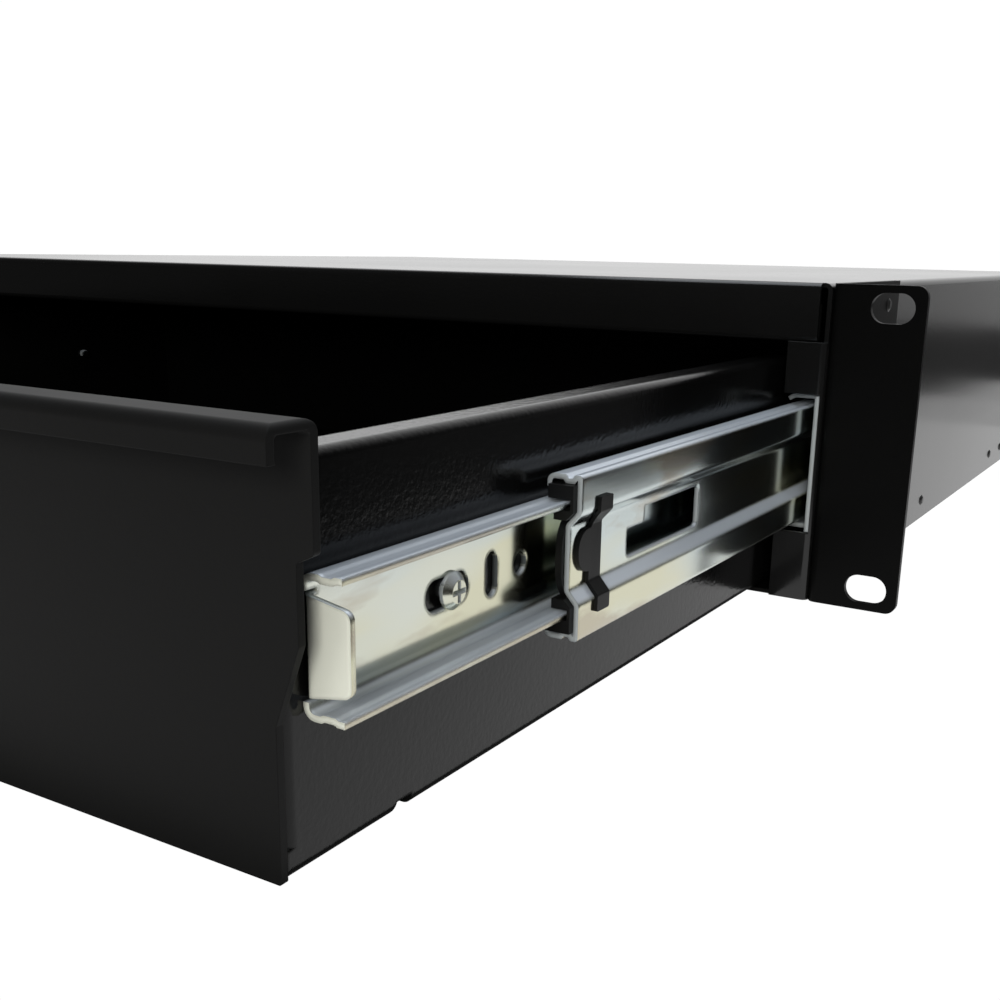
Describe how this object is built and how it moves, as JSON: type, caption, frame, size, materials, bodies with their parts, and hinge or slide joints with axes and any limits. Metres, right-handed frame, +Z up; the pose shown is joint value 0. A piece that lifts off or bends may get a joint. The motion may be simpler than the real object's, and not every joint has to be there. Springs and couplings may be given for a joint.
{
  "type": "sliding rack drawer",
  "caption": "Rack-mount drawer on three-section ball-bearing slides in a folded sheet-metal chassis with slotted ears; the drawer slides forward out of the chassis.",
  "frame": {"origin": "centre of the four rack slots, on the front face of the rack ears", "axes": "+X to the right seen from the front, +Y into the rack, +Z up; the drawer pulls out along -Y"},
  "size_m": [0.4826, 0.6125, 0.0882],
  "materials": {
    "chassis_paint": "satin black powder coat",
    "ear_paint": "satin black powder coat",
    "drawer_paint": "semi-gloss black powder coat with orange peel",
    "front_paint": "satin black powder coat",
    "outer_zinc": "bright zinc plate",
    "middle_zinc": "zinc plate with a yellow-green passivation tint",
    "inner_zinc": "zinc plate with a faint yellow and blue tint",
    "cage_zinc": "bright zinc plate",
    "ball_steel": "polished steel",
    "clip_plastic": "black moulded plastic",
    "screw_zinc": "zinc plate",
    "rivet_paint": "satin black"
  },
  "bodies": {
    "chassis": {"chassis_shell": "chassis_paint", "chassis_bottom": "chassis_paint", "chassis_rear": "chassis_paint", "rack_ear_right": "ear_paint", "rack_ear_left": "ear_paint", "outer_slide_right": "outer_zinc", "outer_slide_left": "outer_zinc", "outer_slide_screws": "screw_zinc", "shell_rivets": "rivet_paint", "ear_rivets": "rivet_paint"},
    "intermediate_left": {"middle_slide_left": "middle_zinc", "end_clip_left": "clip_plastic"},
    "intermediate_right": {"middle_slide_right": "middle_zinc", "end_clip_right": "clip_plastic"},
    "outer_cage_left": {"outer_ball_cage_left": "cage_zinc", "outer_balls_left": "ball_steel"},
    "outer_cage_right": {"outer_ball_cage_right": "cage_zinc", "outer_balls_right": "ball_steel"},
    "inner_cage_left": {"inner_ball_cage_left": "cage_zinc", "inner_balls_left": "ball_steel"},
    "inner_cage_right": {"inner_ball_cage_right": "cage_zinc", "inner_balls_right": "ball_steel"},
    "drawer": {"drawer_tray": "drawer_paint", "drawer_front": "front_paint", "inner_slide_right": "inner_zinc", "inner_slide_left": "inner_zinc", "inner_slide_screws": "screw_zinc"}
  },
  "joints": [
    {"name": "intermediate_left_slide", "type": "slide", "parent": "chassis", "child": "intermediate_left", "axis": [0, -1, 0], "range_m": [-0.1388, 0.0362]},
    {"name": "intermediate_right_slide", "type": "slide", "parent": "chassis", "child": "intermediate_right", "axis": [0, -1, 0], "range_m": [-0.1388, 0.0362]},
    {"name": "drawer_slide", "type": "slide", "parent": "intermediate_left", "child": "drawer", "axis": [0, -1, 0], "range_m": [-0.0632, 0.1118]},
    {"name": "outer_cage_left_roll", "type": "slide", "parent": "chassis", "child": "outer_cage_left", "axis": [0, -1, 0], "range_m": [-0.0694, 0.0181]},
    {"name": "outer_cage_right_roll", "type": "slide", "parent": "chassis", "child": "outer_cage_right", "axis": [0, -1, 0], "range_m": [-0.0694, 0.0181]},
    {"name": "inner_cage_left_roll", "type": "slide", "parent": "intermediate_left", "child": "inner_cage_left", "axis": [0, -1, 0], "range_m": [-0.0316, 0.0559]},
    {"name": "inner_cage_right_roll", "type": "slide", "parent": "intermediate_right", "child": "inner_cage_right", "axis": [0, -1, 0], "range_m": [-0.0316, 0.0559]}
  ],
  "couplings": [
    {"joint": "intermediate_right_slide", "follows": "intermediate_left_slide", "ratio": 1},
    {"joint": "outer_cage_left_roll", "follows": "intermediate_left_slide", "ratio": 0.5},
    {"joint": "outer_cage_right_roll", "follows": "intermediate_left_slide", "ratio": 0.5},
    {"joint": "inner_cage_left_roll", "follows": "drawer_slide", "ratio": 0.5},
    {"joint": "inner_cage_right_roll", "follows": "drawer_slide", "ratio": 0.5}
  ]
}
